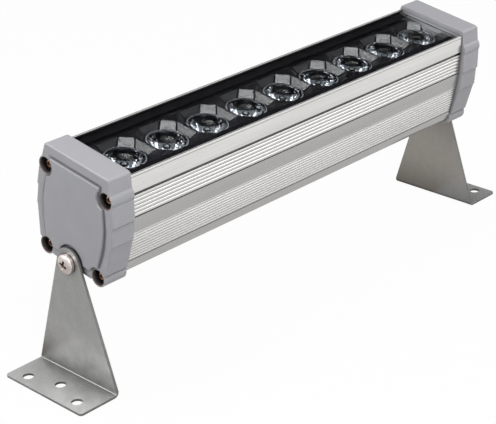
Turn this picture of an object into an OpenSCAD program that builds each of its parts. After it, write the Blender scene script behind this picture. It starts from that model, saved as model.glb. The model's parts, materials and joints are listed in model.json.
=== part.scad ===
// Linear LED wall washer: a ribbed aluminium lamp body with a glass front, a row of
// lensed lights, two die-cast end caps and a pair of folded swivel brackets.
// Lengths are in millimetres and angles in degrees. X runs along the lamp, the lamp
// leans towards -Y and Z points up. The origin lies on the mounting surface, under
// the middle of the pivot axis. Lamp pieces are drawn upright round that axis.

/* [Lamp] */
// Overall length over the outer faces of the two end caps
lamp_len = 300; // [240:1:600]
// Height of the pivot axis above the mounting surface
pivot_h = 67.8; // [66:0.1:120]
// Lean of the lamp from upright, towards -Y
rest_tilt = 9.4; // [-60:0.1:60]

/* [Profile] */
// Half width of the profile where its sides bulge most
side_half = 26; // [25:0.1:29]
// Radius of the barrel curve of the two sides
side_r = 162; // [140:1:400]
// Height above the pivot axis of the widest point
side_z = 29; // [24:0.5:34]
// Height above the pivot axis of the lips round the glass
profile_top = 56.2; // [54:0.1:58]
// Depth of the underside below the pivot axis
profile_bottom = 2.6; // [2.2:0.1:3.2]
// Radius of the two lower corners
corner_r = 4.8; // [4.4:0.1:5.4]
// Thickness of the outer wall behind the ribs
wall = 1.9; // [1.2:0.1:2.4]
// Thickness of the floor of the driver bay
floor_t = 2; // [1.2:0.1:3]
// Thickness of the web that carries the light board
web_t = 2.5; // [2:0.1:4]
// Height above the pivot axis of the web's upper face
web_top = 33.5; // [32:0.1:35]
// Depth of the cooling channel in the underside
channel_depth = 1.6; // [0.8:0.1:2]
// Number of fins in the cooling channel
fin_count = 9; // [3:1:9]

/* [Ribs] */
// Height above the pivot axis of the middle of the shadow groove
groove_z = 45.5; // [45.4:0.1:46]
// Width of the shadow groove
groove_w = 1.6; // [0.8:0.1:1.8]
// Depth of the shadow groove
groove_depth = 0.7; // [0.3:0.1:0.8]
// Height above the pivot axis of the upper, coarse rib band's upper edge
coarse_top = 44.6; // [44:0.1:44.6]
// Number of coarse ribs
coarse_count = 6; // [2:1:6]
// Spacing of the coarse ribs
coarse_pitch = 2.1; // [1.6:0.05:2.2]
// Height above the pivot axis of the lower, fine rib band's upper edge
fine_top = 23; // [21:0.1:24]
// Number of fine ribs
fine_count = 10; // [2:1:10]
// Spacing of the fine ribs
fine_pitch = 1.75; // [1.4:0.05:1.8]
// Rounding radius of a rib as a multiple of its spacing
rib_round = 0.63; // [0.58:0.01:0.8]

/* [Glass] */
// Thickness of the front glass
glass_t = 4; // [3:0.1:5]
// Depth of the glass face below the lips
glass_recess = 0.5; // [0.2:0.1:1]
// Thickness of the lips beside the glass
lip_t = 0.9; // [0.7:0.1:1.2]
// Width of the seal's upstand beside the glass
seal_side = 0.3; // [0.3:0.05:0.6]
// Thickness of the seal under the glass
seal_under = 0.8; // [0.5:0.1:1.2]
// Half width of the opening between the two glass ledges
ledge_half = 19.2; // [19:0.1:19.6]
// Thickness of the glass ledges
ledge_t = 1.8; // [1.2:0.1:2.2]

/* [Lights] */
// Spacing of the lights
light_pitch = 29.8; // [27:0.1:36]
// Shift of the row of lights away from the lamp's middle, towards the cable end
light_shift = 2.5; // [0:0.1:3]
// Space kept free at each end of the tray
tray_end_free = 1; // [0.5:0.1:3]
// Thickness of the tray with the eight-sided wells
tray_t = 4.4; // [3.5:0.1:5]
// Gap from the ledges' upper face down to the tray
tray_drop = 0.8; // [0.6:0.1:1]
// Side gap between the tray and the ledges
tray_gap = 0.3; // [0.2:0.1:0.6]
// Thickness of the bar between two wells at their mouths
well_bar = 1.5; // [0.8:0.1:2.5]
// Cut of a well's corners at the mouth
well_mouth_cut = 6.3; // [4:0.1:8]
// Side gap between a lens's flange and the bottom of its well
lens_gap = 0.3; // [0.15:0.05:0.5]
// Cut of a well's corners at the bottom
well_floor_cut = 6.8; // [5:0.1:7]
// Diameter of the tray's legs
leg_d = 4; // [3:0.1:5]
// Half spacing of the tray's legs and of the board screws across the board
leg_y = 14; // [13.8:0.1:14.6]
// Radius of a lens at its flange
lens_r = 11.3; // [10.8:0.05:11.35]
// Thickness of a lens's flange
lens_flange_t = 1.7; // [1:0.1:2]
// Radius of a lens at its lower end
lens_foot_r = 3.6; // [3.4:0.1:4]
// Radius of the pocket in the lens over its light
lens_pocket_r = 2.8; // [2.7:0.05:3]
// Depth of the pocket in the lens over its light
lens_pocket_depth = 4.5; // [3:0.1:6]
// Outer radius of a lens holder
holder_r = 11.6; // [11.4:0.05:11.8]
// Wall thickness of a lens holder
holder_wall = 1.1; // [0.8:0.1:1.4]
// Height of a lens holder
holder_h = 10; // [9:0.1:11]
// Side of the square light package
led_side = 3.45; // [2:0.05:3.5]
// Thickness of the light package below its dome
led_base_t = 0.7; // [0.5:0.1:1]
// Radius of the dome on the light package
led_dome_r = 1.25; // [0.8:0.05:1.3]

/* [Electronics] */
// Thickness of the light board
board_t = 1.6; // [1:0.1:2]
// Half width of the light board
board_half = 18; // [17:0.1:19]
// Distance from the middle of an end light to the board's end
board_end = 13; // [12.6:0.1:14]
// Thickness of the heat pad under the light board
pad_t = 0.5; // [0.3:0.1:1]
// Length of the driver case
driver_len = 200; // [150:1:204]
// Width of the driver case
driver_w = 32; // [26:0.5:33]
// Height of the driver case with its cover
driver_h = 23; // [20:0.5:26]
// Sheet thickness of the driver case and its cover
driver_wall = 1.2; // [0.8:0.1:1.6]
// Height of the driver board above the case floor
driver_post_h = 3; // [2:0.1:4]
// Diameter of the leads from the driver to the light board
lead_d = 1.6; // [1.2:0.1:2]
// Spacing of the two leads
lead_gap = 3.4; // [2.6:0.1:4]

/* [End caps] */
// Depth of an end cap along the lamp
cap_len = 15; // [13:0.1:20]
// Height of an end cap's top above the profile's lips
cap_rise = 2.8; // [2:0.1:4]
// Depth of an end cap's lower edge below the pivot axis
cap_bottom = 3.2; // [3:0.1:4]
// How far the profile's end goes into a cap
cap_grip = 2.5; // [2:0.1:4]
// Clearance round the profile inside a cap
cap_fit = 0.15; // [0.1:0.05:0.3]
// Thickness of an end cap's outer face
cap_face_t = 3; // [2.4:0.1:4]
// Rise of the raised panel on an end cap's face
panel_rise = 1; // [0.4:0.1:1.5]
// Radius of the panel's scallops round the cap screws
panel_scallop_r = 6; // [5:0.1:7]
// Radius of the panel's scallop round the pivot
pivot_scallop_r = 9.4; // [8.5:0.1:11]
// Thickness of the gasket between profile and cap
gasket_t = 1; // [0.6:0.1:1.5]
// Width of the gasket's ring
gasket_w = 2.6; // [2.2:0.1:3]

/* [Fasteners] */
// Half spacing of the upper cap screws
screw_up_y = 22.5; // [22:0.1:22.6]
// Height above the pivot axis of the upper cap screws
screw_up_z = 46.5; // [46:0.1:47]
// Half spacing of the lower cap screws
screw_low_y = 19.8; // [19.4:0.1:20]
// Height above the pivot axis of the lower cap screws
screw_low_z = 0.2; // [0.1:0.1:0.6]
// Thread diameter of the cap and board screws
screw_d = 3; // [2.5:0.1:3]
// Head diameter of the cap and board screws
screw_head_d = 5.8; // [5:0.1:6]
// Head height of the cap and board screws
screw_head_h = 2.2; // [1.8:0.1:2.6]
// Length of a cap screw under its head
cap_screw_len = 22; // [18:1:30]
// Diameter of the counterbores over the cap screws
counterbore_d = 8.6; // [7:0.1:9]
// Depth of a cap screw's head below the face
head_sink = 2.1; // [1:0.1:3]
// Radial clearance round a screw in its hole
screw_fit = 0.05; // [0.02:0.01:0.1]
// Thread diameter of the pivot screws
pivot_d = 6; // [5:0.5:8]
// Radial running clearance between a pivot screw and its bracket
pivot_fit = 0.06; // [0.02:0.01:0.1]
// Head diameter of the pivot screws
pivot_head_d = 11.5; // [10:0.1:13]
// Head height of the pivot screws
pivot_head_h = 3.6; // [2.8:0.1:4.5]
// Depth of the pivot thread in an end cap
pivot_thread_len = 11; // [8:0.5:11.5]
// Diameter of the friction washers
washer_d = 14; // [13:0.1:16]
// Height of the friction washers above the raised panels
washer_over = 0.2; // [0.1:0.05:0.6]
// Free play on each side of a bracket's plate
side_play = 0.1; // [0.05:0.05:0.2]

/* [Cable gland] */
// Height above the pivot axis of the cable gland
gland_z = 35; // [30:0.5:37]
// Thread diameter of the gland
gland_d = 12; // [10:0.5:14]
// Width across the flats of the gland's hexagons
gland_flats = 15; // [14:0.5:18]
// Thickness of the gland's hexagon flange
gland_flange_t = 4; // [3:0.5:6]
// Length of the gland's clamping nut
gland_nut_len = 12; // [10:0.5:16]
// Thickness of the gland's flat gasket and of its lock nut
gland_gasket_t = 0.8; // [0.5:0.1:1.5]
// Thickness of the gland's lock nut
lock_nut_t = 3; // [2:0.5:4]
// Diameter of the cable hole in the gland's seal
cable_hole_d = 6.6; // [5:0.1:7]

/* [Brackets] */
// Sheet thickness of a bracket
sheet_t = 1.5; // [1.2:0.1:2.5]
// Width of a bracket at its foot
bracket_w = 61; // [50:0.5:80]
// Radius of a bracket's rounded top
bracket_top_r = 8.5; // [8:0.1:12]
// Reach of a bracket's foot from the inner face of its plate
foot_reach = 26; // [24.6:0.1:40]
// Inner radius of the fold
fold_r = 1.5; // [1:0.1:3]
// Rounding of a foot's outer corners
foot_corner_r = 2; // [0.5:0.1:4]
// Diameter of the fixing holes
fix_d = 6; // [4:0.1:6.5]
// Distance of the two outer fixing holes from the plate's inner face
fix_out = 19.2; // [18:0.1:20]
// Distance of the middle fixing hole from the plate's inner face
fix_mid = 13.6; // [12:0.1:16]
// Half spacing of the two outer fixing holes
fix_half = 19.6; // [15:0.1:22]

/* [Hidden] */
round_fn = 64;
small_fn = 32;
eps = 0.02;
cap_x = lamp_len / 2 - cap_len;
face_x = lamp_len / 2;
profile_half = cap_x + cap_grip - gasket_t;
glass_half = side_w(profile_top) - lip_t - seal_side;
pocket_half = glass_half + seal_side;
ledge_top = profile_top - glass_recess - glass_t - seal_under;
chamber_half = side_w(web_top) - rib_cut(coarse_pitch) - wall;
floor_top = floor_t + channel_depth - profile_bottom;
web_bottom = web_top - web_t;
corner_z = corner_r - profile_bottom;
corner_y = sqrt(pow(side_r - corner_r, 2) - pow(side_z - corner_z, 2)) - (side_r - side_half);
corner_turn = asin((side_z - corner_z) / (side_r - corner_r));
channel_half = corner_y - corner_r;
fin_t = 1;
port_wall = 1.5;
port_r = screw_d / 2 + screw_fit + port_wall;
tray_half_y = ledge_half - tray_gap;
tray_top = ledge_top - tray_drop;
tray_half_x = profile_half + cap_face_t / 2;
light_count = floor((2 * tray_half_x - 2 * (light_shift + tray_end_free)) / light_pitch);
board_half_x = (light_count - 1) * light_pitch / 2 + board_end;
board_top = web_top + pad_t + board_t;
well_mouth = light_pitch - well_bar;
well_floor = 2 * (lens_r + lens_gap);
lead_x = light_shift - board_half_x - lead_d * 2;
lead_lap = (board_end - holder_r) * 0.7;
washer_t = panel_rise + washer_over;
cap_top = profile_top + cap_rise;
cap_proud_top = 0.8;
boss_r = 5.2;
lobe_r = bracket_top_r - 1;
// Height and distance outside the profile's curve of each corner of a cap's side
cap_corners = [[cap_top, cap_proud_top], [51.2, 1], [43.6, 2.2], [33.4, 3.05], [32.7, 2.25],
    [22.2, 2.95], [21.7, 2.5], [3.8, 1.4]];
// Corners of the right half of the raised panel, as Y and Z
panel_corners = [[18.2, 52.2], [18.2, 47], [21, 40.7], [22.3, 29], [22.2, 22], [21.7, 17],
    [20.7, 12], [19.6, 7], [19.6, 2]];
plate_x = face_x + washer_t + side_play;
foot_x = plate_x + foot_reach;
// Driver parts: place as a share of the driver's length, then length, width and height
driver_blocks = [[-0.45, 8, 12, 6], [-0.025, 22, 18, 12], [0.155, 14, 14, 8], [0.42, 12, 16, 9]];
// Round driver parts: place as a share of the driver's length, then diameter and height
driver_cans = [[-0.3, 8, 10], [-0.235, 8, 10], [-0.17, 8, 10], [0.26, 10, 12], [0.33, 10, 12]];
gland_face = face_x + panel_rise;
hex_turn = 30;
light_nodes = [for (kind = ["led_", "lens_holder_", "lens_"]) for (i = [1:light_count]) str(kind, i)];

// Half width of the barrel-shaped side at height z
function side_w(z) = side_half - side_r + sqrt(pow(side_r, 2) - pow(z - side_z, 2));
// Depth of the valley between ribs of the given spacing
function rib_cut(pitch) = pitch * (rib_round - sqrt(pow(rib_round, 2) - 0.25));
// Points down the side from z0 to z1, moved out by grow
function side_pts(z0, z1, n, grow) =
    [for (k = [0:n]) let (z = z0 + (z1 - z0) * k / n) [side_w(z) + grow, z]];
// Points round the crests of a band of ribs that starts at height top
function rib_pts(top, count, pitch) =
    let (r = pitch * rib_round, half = asin(0.5 / rib_round), steps = 6)
    [for (i = [0:count - 1]) let (z = top - pitch * (i + 0.5)) for (k = [0:steps])
        let (a = half - 2 * half * k / steps)
        if (k < steps || i == count - 1) [side_w(z) - r + r * cos(a), z + r * sin(a)]];
// Points round the lower corner of the profile, moved out by grow
function corner_pts(grow) =
    let (steps = 8)
    [for (k = [0:steps]) let (a = -corner_turn - (90 - corner_turn) * k / steps)
        [corner_y + (corner_r + grow) * cos(a), corner_z + (corner_r + grow) * sin(a)]];
corner_join = corner_z - corner_r * sin(corner_turn);
// A right-hand outline closed by its mirror image
function mirrored(p) = concat(p, [for (i = [len(p) - 1:-1:0]) [-p[i][0], p[i][1]]]);
// Smooth outline of the profile, moved out by grow
function envelope_pts(grow) =
    mirrored(concat([[side_w(profile_top) + grow, profile_top + grow]],
        side_pts(profile_top - 1, corner_join + 1, 24, grow), corner_pts(grow)));

// Extrudes a section, drawn as Y and Z, from x0 to x1
module along(x0, x1) {
    translate([x0, 0, 0]) rotate([90, 0, 90]) linear_extrude(x1 - x0) children();
}
// Rod along X
module rod(x0, x1, y, z, r, fn = round_fn) {
    translate([x0, y, z]) rotate([0, 90, 0]) cylinder(r = r, h = x1 - x0, $fn = fn);
}
// Rod along Z
module post(x, y, z0, z1, r, fn = round_fn) {
    translate([x, y, z0]) cylinder(r = r, h = z1 - z0, $fn = fn);
}
// Box from its lowest and highest corner
module box(lo, hi) {
    translate(lo) cube(hi - lo);
}
// Hexagonal prism along X
module hex_rod(x0, x1, y, z, flats) {
    translate([x0, y, z]) rotate([0, 90, 0]) rotate([0, 0, hex_turn])
        cylinder(r = flats / 2 / cos(30), h = x1 - x0, $fn = 6);
}
// Carries a piece drawn round the pivot axis to its place
module placed() {
    translate([0, 0, pivot_h]) rotate([rest_tilt, 0, 0]) children();
}
// Draws a piece of the right-hand end as it is, or mirrors it to the left-hand end
module at_end(left) {
    if (left) mirror([1, 0, 0]) children();
    else children();
}
// Places children at the four cap screws of one end, drawn as Y and Z
module at_cap_screws() {
    for (s = [-1, 1]) {
        translate([s * screw_up_y, screw_up_z]) children();
        translate([s * screw_low_y, screw_low_z]) children();
    }
}
// Cross recess in a screw head that points along X, to be cut from it
module cross_recess(x, y, z, size, depth) {
    for (a = [0, 90]) translate([x - depth, y, z]) rotate([a, 0, 0])
        box([0, -size / 2, -size / 9], [depth + 1, size / 2, size / 9]);
}
// Screw head that points along X, with a domed crown
module pan_head(x, y, z, d, h) {
    crown = h * 0.35;
    rod(x, x + h - crown, y, z, d / 2);
    translate([x + h - crown, y, z]) rotate([0, 90, 0]) rotate_extrude($fn = round_fn)
        polygon([[0, 0], [d / 2, 0], [d * 0.46, crown * 0.45], [d * 0.34, crown * 0.85], [0, crown]]);
}

module profile_section() {
    difference() {
        polygon(mirrored(concat(
            side_pts(profile_top, groove_z + groove_w / 2, 4, 0),
            [[side_w(groove_z) - groove_depth, groove_z + groove_w / 2],
             [side_w(groove_z) - groove_depth, groove_z - groove_w / 2],
             [side_w(groove_z), groove_z - groove_w / 2]],
            rib_pts(coarse_top, coarse_count, coarse_pitch),
            side_pts(coarse_top - coarse_count * coarse_pitch - eps, fine_top + eps, 4, 0),
            rib_pts(fine_top, fine_count, fine_pitch),
            side_pts(fine_top - fine_count * fine_pitch - eps, corner_join + eps, 2, 0),
            corner_pts(0))));
        translate([-pocket_half, ledge_top]) square([2 * pocket_half, profile_top - ledge_top + 1]);
        translate([-ledge_half, web_top]) square([2 * ledge_half, ledge_top - web_top + 1]);
        difference() {
            translate([-chamber_half, web_top])
                square([2 * chamber_half, ledge_top - ledge_t - web_top]);
            at_cap_screws() circle(r = port_r, $fn = small_fn);
        }
        difference() {
            polygon(mirrored(side_pts(web_bottom, floor_top, 10, -rib_cut(fine_pitch) - wall)));
            at_cap_screws() circle(r = port_r, $fn = small_fn);
        }
        at_cap_screws() circle(d = screw_d + 2 * screw_fit, $fn = small_fn);
        difference() {
            translate([-channel_half, -profile_bottom - 1]) square([2 * channel_half, channel_depth + 1]);
            for (i = [0:fin_count - 1])
                translate([(i - (fin_count - 1) / 2) * 2 * channel_half / fin_count - fin_t / 2,
                    -profile_bottom]) square([fin_t, channel_depth + 1]);
        }
    }
}

module housing() {
    color("#c4c4c1") placed() difference() {
        along(-profile_half, profile_half) profile_section();
        at_board_screws() post(0, 0, web_bottom - 1, web_top + 1, screw_d / 2 + screw_fit, small_fn);
        for (s = [-1, 1])
            post(lead_x, s * lead_gap / 2, web_bottom - 1, web_top + 1, lead_d / 2 + 0.3, small_fn);
    }
}

// Outline of an end cap
module cap_outline() {
    polygon(mirrored(concat([for (c = cap_corners) [side_w(c[0]) + c[1], c[0]]],
        [[screw_low_y, screw_low_z], [screw_low_y - boss_r, -cap_bottom]])));
    at_cap_screws() circle(r = boss_r, $fn = round_fn);
    circle(r = lobe_r, $fn = round_fn);
}
// Opening inside an end cap and its gasket, clear of the screws and of the pivot
module cap_opening() {
    difference() {
        polygon(mirrored(side_pts(profile_top - gasket_w, floor_top + gasket_w, 10, -gasket_w)));
        at_cap_screws() circle(r = screw_d / 2 + port_wall, $fn = small_fn);
        circle(r = lobe_r, $fn = round_fn);
    }
}
module raised_panel() {
    difference() {
        polygon(mirrored(panel_corners));
        at_cap_screws() circle(r = panel_scallop_r, $fn = round_fn);
        circle(r = pivot_scallop_r, $fn = round_fn);
    }
}
module end_cap(left) {
    color("#9a9a9e") placed() at_end(left) difference() {
        union() {
            along(cap_x, face_x) cap_outline();
            along(face_x - 1, face_x + panel_rise) raised_panel();
        }
        along(cap_x - 1, cap_x + cap_grip) polygon(envelope_pts(cap_fit));
        along(cap_x, face_x - cap_face_t) cap_opening();
        for (s = [-1, 1]) for (p = [[screw_up_y, screw_up_z], [screw_low_y, screw_low_z]]) {
            rod(cap_x, face_x, s * p[0], p[1], screw_d / 2 + screw_fit, small_fn);
            rod(face_x - head_sink - screw_head_h, face_x + 1, s * p[0], p[1], counterbore_d / 2);
        }
        rod(face_x - pivot_thread_len - 0.5, face_x + 1, 0, 0, pivot_d / 2 + screw_fit);
        if (!left) rod(face_x - cap_face_t - 1, face_x + panel_rise + 1, 0, gland_z, gland_d / 2 + 2 * screw_fit);
    }
}
module end_cap_left() { end_cap(true); }
module end_cap_right() { end_cap(false); }

module cap_gasket(left) {
    color("#26262a") placed() at_end(left) along(profile_half, profile_half + gasket_t) difference() {
        polygon(envelope_pts(0));
        cap_opening();
        at_cap_screws() circle(d = screw_d + 2 * screw_fit, $fn = small_fn);
    }
}
module cap_gasket_left() { cap_gasket(true); }
module cap_gasket_right() { cap_gasket(false); }

module cap_screws(left) {
    seat = face_x - head_sink - screw_head_h;
    color("#b98a72") placed() at_end(left) for (s = [-1, 1])
        for (p = [[screw_up_y, screw_up_z], [screw_low_y, screw_low_z]]) difference() {
            union() {
                rod(seat - cap_screw_len, seat + 0.5, s * p[0], p[1], screw_d / 2, small_fn);
                pan_head(seat, s * p[0], p[1], screw_head_d, screw_head_h);
            }
            cross_recess(seat + screw_head_h, s * p[0], p[1], screw_head_d * 0.62, screw_head_h / 2);
        }
}
module cap_screws_left() { cap_screws(true); }
module cap_screws_right() { cap_screws(false); }

module glass_cover() {
    color("#dfe9ea", 0.35) placed()
        box([-profile_half, -glass_half, ledge_top + seal_under],
            [profile_half, glass_half, profile_top - glass_recess]);
}
// Seal with a flat foot under the glass and a thin upstand beside it
module glass_seal(s) {
    color("#18181a") placed() along(-profile_half, profile_half) polygon([
        [s * ledge_half, ledge_top], [s * pocket_half, ledge_top],
        [s * pocket_half, profile_top - glass_recess], [s * glass_half, profile_top - glass_recess],
        [s * glass_half, ledge_top + seal_under], [s * ledge_half, ledge_top + seal_under]]);
}
module glass_seal_front() { glass_seal(-1); }
module glass_seal_rear() { glass_seal(1); }

// Middle of light i, counted from 0
function light_x(i) = light_shift + (i - (light_count - 1) / 2) * light_pitch;
// Boundaries between lights that hold a board screw, and those that hold tray legs
board_screw_xs = [for (i = [0:3:light_count - 2]) light_x(i + 0.5)];
leg_xs = [for (i = [1:3:light_count - 2]) light_x(i + 0.5)];
// Repeats children at every board screw
module at_board_screws() {
    for (x = board_screw_xs) for (s = [-1, 1]) translate([x, s * leg_y, 0]) children();
}
// Corners of an octagon with flats at half a width and cut corners, at height z
function octagon(half, cut, z) =
    let (e = half - cut)
    [[half, -e, z], [half, e, z], [e, half, z], [-e, half, z],
     [-half, e, z], [-half, -e, z], [-e, -half, z], [e, -half, z]];

// Eight-sided funnel that cuts a well in the tray
module well(x) {
    slope = (well_mouth - well_floor) / 2 / tray_t;
    cut_slope = (well_mouth_cut - well_floor_cut) / tray_t;
    bottom = octagon(well_floor / 2 - slope, well_floor_cut - cut_slope, tray_top - tray_t - 1);
    top = octagon(well_mouth / 2 + slope, well_mouth_cut + cut_slope, tray_top + 1);
    translate([x, 0, 0]) polyhedron(points = concat(bottom, top),
        faces = concat([[0, 1, 2, 3, 4, 5, 6, 7], [15, 14, 13, 12, 11, 10, 9, 8]],
            [for (k = [0:7]) [(k + 1) % 8, k, k + 8, (k + 1) % 8 + 8]]));
}
module lens_tray() {
    color("#1e1d21") placed() {
        difference() {
            box([-tray_half_x, -tray_half_y, tray_top - tray_t], [tray_half_x, tray_half_y, tray_top]);
            for (i = [0:light_count - 1]) well(light_x(i));
        }
        for (x = leg_xs) for (s = [-1, 1])
            post(x, s * leg_y, board_top, tray_top - tray_t, leg_d / 2, small_fn);
    }
}

module thermal_pad() {
    color("#8f9aa3") placed() difference() {
        box([light_shift - board_half_x, -board_half, web_top],
            [light_shift + board_half_x, board_half, web_top + pad_t]);
        at_board_screws() post(0, 0, web_top - 1, board_top, screw_d / 2 + screw_fit, small_fn);
    }
}
module light_board() {
    color("#e8e8e4") placed() difference() {
        box([light_shift - board_half_x, -board_half, web_top + pad_t],
            [light_shift + board_half_x, board_half, board_top]);
        at_board_screws() post(0, 0, web_top, board_top + 1, screw_d / 2 + screw_fit, small_fn);
    }
}
module board_screws() {
    color("#b9b9b9") placed() at_board_screws() translate([0, 0, board_top])
        rotate([0, -90, 0]) difference() {
            union() {
                pan_head(0, 0, 0, screw_head_d, screw_head_h);
                rod(web_bottom - board_top, 0.5, 0, 0, screw_d / 2, small_fn);
            }
            cross_recess(screw_head_h, 0, 0, screw_head_d * 0.62, screw_head_h / 2);
        }
}

module led(i) {
    x = light_x(i);
    color("#e6d36a") placed() {
        box([x - led_side / 2, -led_side / 2, board_top], [x + led_side / 2, led_side / 2, board_top + led_base_t]);
        intersection() {
            translate([x, 0, board_top + led_base_t]) sphere(r = led_dome_r, $fn = small_fn);
            post(x, 0, board_top + led_base_t / 2, board_top + led_base_t + led_dome_r, led_dome_r * 2, small_fn);
        }
    }
}
module lens_holder(i) {
    color("#232327") placed() translate([light_x(i), 0, board_top]) difference() {
        post(0, 0, 0, holder_h, holder_r);
        post(0, 0, holder_wall, holder_h + 1, holder_r - holder_wall);
        post(0, 0, -1, holder_wall + 1, holder_r / 2);
    }
}
// Lens turned round Z: flange, a curved side that narrows to the foot, and a pocket over the light
module lens(i) {
    steps = 10;
    shoulder_r = holder_r - holder_wall - 0.3;
    foot_z = 0.5;
    color("#dfe6ea", 0.35) placed() translate([light_x(i), 0, board_top])
        rotate_extrude($fn = round_fn) polygon(concat(
            [[0, holder_h + lens_flange_t - 0.6], [lens_r * 0.45, holder_h + lens_flange_t - 0.6],
             [lens_r * 0.5, holder_h + lens_flange_t], [lens_r, holder_h + lens_flange_t],
             [lens_r, holder_h]],
            [for (k = [0:steps]) let (t = 1 - k / steps)
                [lens_foot_r + (shoulder_r - lens_foot_r) * sqrt(t), foot_z + (holder_h - foot_z) * t]],
            [[lens_pocket_r, foot_z], [lens_pocket_r - 0.5, foot_z + lens_pocket_depth],
             [0, foot_z + lens_pocket_depth + 0.6]]));
}

driver_z = floor_top;
module driver_case() {
    color("#d8d8d6") placed() difference() {
        box([-driver_len / 2, -driver_w / 2, driver_z], [driver_len / 2, driver_w / 2, driver_z + driver_h - driver_wall]);
        difference() {
            box([-driver_len / 2 + driver_wall, -driver_w / 2 + driver_wall, driver_z + driver_wall],
                [driver_len / 2 - driver_wall, driver_w / 2 - driver_wall, driver_z + driver_h]);
            for (sx = [-1, 1]) for (sy = [-1, 1])
                post(sx * (driver_len / 2 - 8), sy * (driver_w / 2 - 5), driver_z,
                    driver_z + driver_wall + driver_post_h, 2.5, small_fn);
        }
        box([-driver_len / 2 - 1, -lead_gap / 2 - lead_d, driver_z + driver_h * 0.45],
            [-driver_len / 2 + driver_wall + 1, lead_gap / 2 + lead_d, driver_z + driver_h]);
    }
}
driver_board_z = driver_z + driver_wall + driver_post_h;
module driver_board() {
    color("#3f6b4a") placed() box([-driver_len / 2 + driver_wall + 1, -driver_w / 2 + driver_wall + 0.5, driver_board_z],
        [driver_len / 2 - driver_wall - 1, driver_w / 2 - driver_wall - 0.5, driver_board_z + board_t]);
}
module driver_components() {
    z = driver_board_z + board_t;
    color("#4a4a4e") placed() {
        for (b = driver_blocks) translate([b[0] * driver_len, 0, z])
            box([-b[1] / 2, -b[2] / 2, 0], [b[1] / 2, b[2] / 2, b[3]]);
        for (c = driver_cans) post(c[0] * driver_len, 0, z, z + c[2], c[1] / 2, small_fn);
    }
}
module driver_cover() {
    color("#d8d8d6") placed() box([-driver_len / 2, -driver_w / 2, driver_z + driver_h - driver_wall],
        [driver_len / 2, driver_w / 2, driver_z + driver_h]);
}
// Two leads from the driver's terminal, out of its case and up through the web to the board
module light_leads() {
    r = lead_d / 2;
    low = driver_z + driver_h * 0.7;
    high = board_top + r;
    from_x = driver_blocks[0][0] * driver_len;
    color("#c23b32") placed() for (s = [-1, 1]) translate([0, s * lead_gap / 2, 0]) {
        post(from_x, 0, driver_board_z + board_t + driver_blocks[0][3], low, r, small_fn);
        translate([from_x, 0, low]) sphere(r = r, $fn = small_fn);
        rod(lead_x, from_x, 0, low, r, small_fn);
        translate([lead_x, 0, low]) sphere(r = r, $fn = small_fn);
        post(lead_x, 0, low, high, r, small_fn);
        translate([lead_x, 0, high]) sphere(r = r, $fn = small_fn);
        rod(lead_x, light_shift - board_half_x + lead_lap, 0, high, r, small_fn);
    }
}

gland_bore_r = cable_hole_d / 2 + 1.1;
module gland_gasket() {
    color("#18181a") placed() difference() {
        rod(gland_face, gland_face + gland_gasket_t, 0, gland_z, gland_flats / 2 - 0.3);
        rod(gland_face - 1, gland_face + gland_gasket_t + 1, 0, gland_z, gland_d / 2 + screw_fit);
    }
}
module gland_body() {
    x = gland_face + gland_gasket_t;
    color("#26262a") placed() difference() {
        union() {
            rod(face_x - cap_face_t - lock_nut_t - 1, x + gland_flange_t / 2, 0, gland_z, gland_d / 2);
            hex_rod(x, x + gland_flange_t, 0, gland_z, gland_flats);
            rod(x + gland_flange_t / 2, x + gland_flange_t + gland_nut_len * 0.6, 0, gland_z,
                gland_d / 2 - 0.2);
        }
        rod(face_x - cap_face_t - lock_nut_t - 2, x + gland_flange_t + gland_nut_len, 0, gland_z, gland_bore_r);
    }
}
module gland_seal() {
    x = gland_face + gland_gasket_t + gland_flange_t;
    color("#3a3a3e") placed() difference() {
        rod(x - 1, x + gland_nut_len * 0.6, 0, gland_z, gland_bore_r);
        rod(x - 2, x + gland_nut_len, 0, gland_z, cable_hole_d / 2);
    }
}
module gland_nut() {
    x = gland_face + gland_gasket_t + gland_flange_t;
    color("#26262a") placed() difference() {
        union() {
            hex_rod(x, x + gland_nut_len * 0.7, 0, gland_z, gland_flats - 1);
            rod(x + gland_nut_len * 0.5, x + gland_nut_len, 0, gland_z, gland_flats / 2 - 1.5);
        }
        rod(x - 1, x + gland_nut_len * 0.6, 0, gland_z, gland_d / 2 - 0.2);
        rod(x, x + gland_nut_len + 1, 0, gland_z, cable_hole_d / 2 + 0.2);
    }
}
module gland_lock_nut() {
    color("#26262a") placed() difference() {
        hex_rod(face_x - cap_face_t - lock_nut_t, face_x - cap_face_t, 0, gland_z, gland_flats + 1);
        rod(face_x - cap_face_t - lock_nut_t - 1, face_x, 0, gland_z, gland_d / 2);
    }
}

module pivot_screw(left) {
    head_x = plate_x + sheet_t + side_play;
    color("#cfc4c0") placed() at_end(left) difference() {
        union() {
            rod(face_x - pivot_thread_len, head_x + 0.5, 0, 0, pivot_d / 2);
            pan_head(head_x, 0, 0, pivot_head_d, pivot_head_h);
        }
        cross_recess(head_x + pivot_head_h, 0, 0, pivot_head_d * 0.55, pivot_head_h * 0.6);
    }
}
module pivot_screw_left() { pivot_screw(true); }
module pivot_screw_right() { pivot_screw(false); }

module friction_washer(left) {
    color("#3a3a3e") placed() at_end(left) difference() {
        rod(face_x, face_x + washer_t, 0, 0, washer_d / 2);
        rod(face_x - 1, face_x + washer_t + 1, 0, 0, pivot_d / 2 + 2 * screw_fit);
    }
}
module friction_washer_left() { friction_washer(true); }
module friction_washer_right() { friction_washer(false); }

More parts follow.
